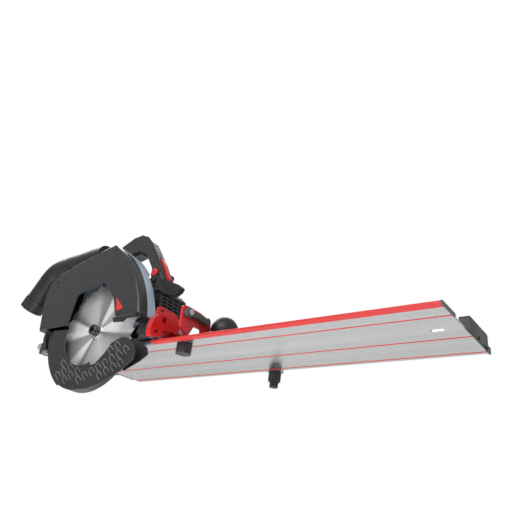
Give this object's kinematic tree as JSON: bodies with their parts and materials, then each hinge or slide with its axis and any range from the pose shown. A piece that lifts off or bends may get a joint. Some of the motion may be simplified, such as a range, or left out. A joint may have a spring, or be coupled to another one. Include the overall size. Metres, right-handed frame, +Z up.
{
  "type": "track plunge saw",
  "caption": "Plunge-cut circular saw on an aluminium guide rail, with a tilting head, pendulum blade guard, dust port and clamped bevel segments.",
  "frame": {"origin": "middle of the guide rail's underside, which lies on the work", "axes": "+X forward along the rail, +Y from the cut line to the rail's far edge, +Z up"},
  "size_m": [1.061, 0.2779, 0.3929],
  "materials": {
    "rail_aluminium": "satin anodised",
    "black_rubber": "matte",
    "red_rubber": "satin",
    "black_plastic": "fine grain",
    "grey_plastic": "fine grain",
    "hood_shell": "matte powder coat",
    "blue_alloy": "satin cast",
    "red_enamel": "gloss",
    "red_plastic": "gloss",
    "handle_shell": "semi-gloss",
    "base_alloy": "satin cast",
    "plated_steel": "zinc plated",
    "dark_steel": "black oxide",
    "blade_steel": "radially ground",
    "guard_black": "satin coat",
    "core_steel": "laminated",
    "carbon_brass": "satin"
  },
  "bodies": {
    "rail": {"guide_rail": "rail_aluminium", "splinter_strip": "red_rubber", "grip_strips": "red_rubber", "end_stops": "black_plastic", "end_caps": "grey_plastic", "stop_blocks": "plated_steel"},
    "near_knob": {"near_stop_knob": "black_plastic"},
    "far_knob": {"far_stop_knob": "black_plastic"},
    "carriage": {"base_plate": "base_alloy", "glide_shoes": "grey_plastic", "front_quadrant": "red_enamel", "rear_quadrant": "guard_black", "base_screws": "plated_steel", "palm_grip": "black_plastic"},
    "rear_screw": {"rear_thumb_screw": "plated_steel"},
    "tilt": {"front_segment": "red_enamel", "rear_segment": "guard_black", "tilt_frame": "base_alloy", "bevel_studs": "plated_steel", "pivot_pin": "plated_steel", "plunge_spring": "dark_steel", "plunge_bumper": "black_rubber"},
    "front_lever": {"front_clamp_lever": "grey_plastic"},
    "rear_lever": {"rear_bevel_lever": "grey_plastic"},
    "head": {"upper_hood": "hood_shell", "dust_duct": "black_plastic", "dust_port": "black_plastic", "gear_housing": "blue_alloy", "gearbox_cover": "blue_alloy", "rear_cover": "hood_shell", "riving_knife": "dark_steel", "knife_clamp": "plated_steel", "motor_housing": "black_plastic", "motor_end_cap": "black_plastic", "stator": "core_steel", "brushes": "carbon_brass", "bearings": "plated_steel", "head_arm": "base_alloy", "hood_shoe": "black_plastic", "housing_screws": "dark_steel", "handle_left": "handle_shell", "handle_right": "handle_shell", "handle_pins": "guard_black", "switch_module": "black_plastic", "cord_gland": "black_rubber", "idler_shaft": "plated_steel", "guard_spring": "dark_steel"},
    "blade": {"saw_blade": "blade_steel", "blade_flanges": "plated_steel", "spindle": "dark_steel", "flange_screw": "dark_steel", "spindle_gear": "dark_steel"},
    "idler": {"idler_gear": "dark_steel"},
    "motor": {"armature": "core_steel", "motor_fan": "black_plastic"},
    "guard": {"lower_guard": "guard_black"},
    "trigger": {"trigger": "red_plastic"},
    "lockoff": {"lockoff_button": "red_plastic"},
    "dial": {"speed_dial": "black_plastic"},
    "release": {"plunge_release": "black_plastic"}
  },
  "joints": [
    {"name": "rail_slide", "type": "slide", "parent": "rail", "child": "carriage", "axis": [1, 0, 0], "range_m": [0, 0.4]},
    {"name": "near_knob_turn", "type": "hinge", "parent": "rail", "child": "near_knob", "pos_m": [-0.092, -0.07925, 0], "axis": [0, 0, 1], "range_deg": [-180, 180]},
    {"name": "far_knob_turn", "type": "hinge", "parent": "rail", "child": "far_knob", "pos_m": [-0.016, 0.11975, 0], "axis": [0, 0, 1], "range_deg": [-180, 180]},
    {"name": "rear_screw_turn", "type": "hinge", "parent": "carriage", "child": "rear_screw", "pos_m": [-0.53, -0.09725, 0.032], "axis": [1, 0, 0], "range_deg": [-180, 180]},
    {"name": "bevel_tilt", "type": "hinge", "parent": "carriage", "child": "tilt", "pos_m": [-0.32, -0.11725, 0], "axis": [1, 0, 0], "range_deg": [0, 45]},
    {"name": "front_lever_turn", "type": "hinge", "parent": "carriage", "child": "front_lever", "pos_m": [-0.082, -0.09325, 0.06], "axis": [1, 0, 0], "range_deg": [0, 35]},
    {"name": "rear_lever_turn", "type": "hinge", "parent": "tilt", "child": "rear_lever", "pos_m": [-0.528, -0.05958, 0.03603], "axis": [1, 0, 0], "range_deg": [0, 60]},
    {"name": "plunge", "type": "hinge", "parent": "tilt", "child": "head", "pos_m": [-0.17, -0.07525, 0.038], "axis": [0, 1, 0], "range_deg": [0, 33]},
    {"name": "blade_spin", "type": "hinge", "parent": "head", "child": "blade", "pos_m": [-0.32, -0.11725, 0.038], "axis": [0, 1, 0], "continuous": true},
    {"name": "idler_spin", "type": "hinge", "parent": "head", "child": "idler", "pos_m": [-0.28334, -0.10025, 0.06993], "axis": [0, 1, 0], "continuous": true},
    {"name": "motor_spin", "type": "hinge", "parent": "head", "child": "motor", "pos_m": [-0.258, -0.04725, 0.092], "axis": [0, 1, 0], "continuous": true},
    {"name": "guard_swing", "type": "hinge", "parent": "head", "child": "guard", "pos_m": [-0.32, -0.11425, 0.038], "axis": [0, 1, 0], "range_deg": [0, 115], "stiffness_Nm_per_rad": 0.12, "springref_deg": -68.75},
    {"name": "trigger_pull", "type": "hinge", "parent": "head", "child": "trigger", "pos_m": [-0.2335, -0.05725, 0.216], "axis": [0, 1, 0], "range_deg": [0, 5], "stiffness_Nm_per_rad": 2, "springref_deg": -3.44},
    {"name": "lockoff_press", "type": "slide", "parent": "head", "child": "lockoff", "axis": [0, 1, 0], "range_m": [0, 0.003], "stiffness_N_per_m": 400, "springref_m": -0.002},
    {"name": "dial_turn", "type": "hinge", "parent": "head", "child": "dial", "pos_m": [-0.21, -0.04575, 0.175], "axis": [0, 1, 0], "range_deg": [-140, 140]},
    {"name": "release_press", "type": "hinge", "parent": "head", "child": "release", "pos_m": [-0.216, -0.08125, 0.156], "axis": [0, 1, 0], "range_deg": [0, 12], "stiffness_Nm_per_rad": 1, "springref_deg": -6.88}
  ],
  "couplings": [
    {"joint": "idler_spin", "follows": "blade_spin", "ratio": -0.97523},
    {"joint": "motor_spin", "follows": "blade_spin", "ratio": 2.6667}
  ]
}
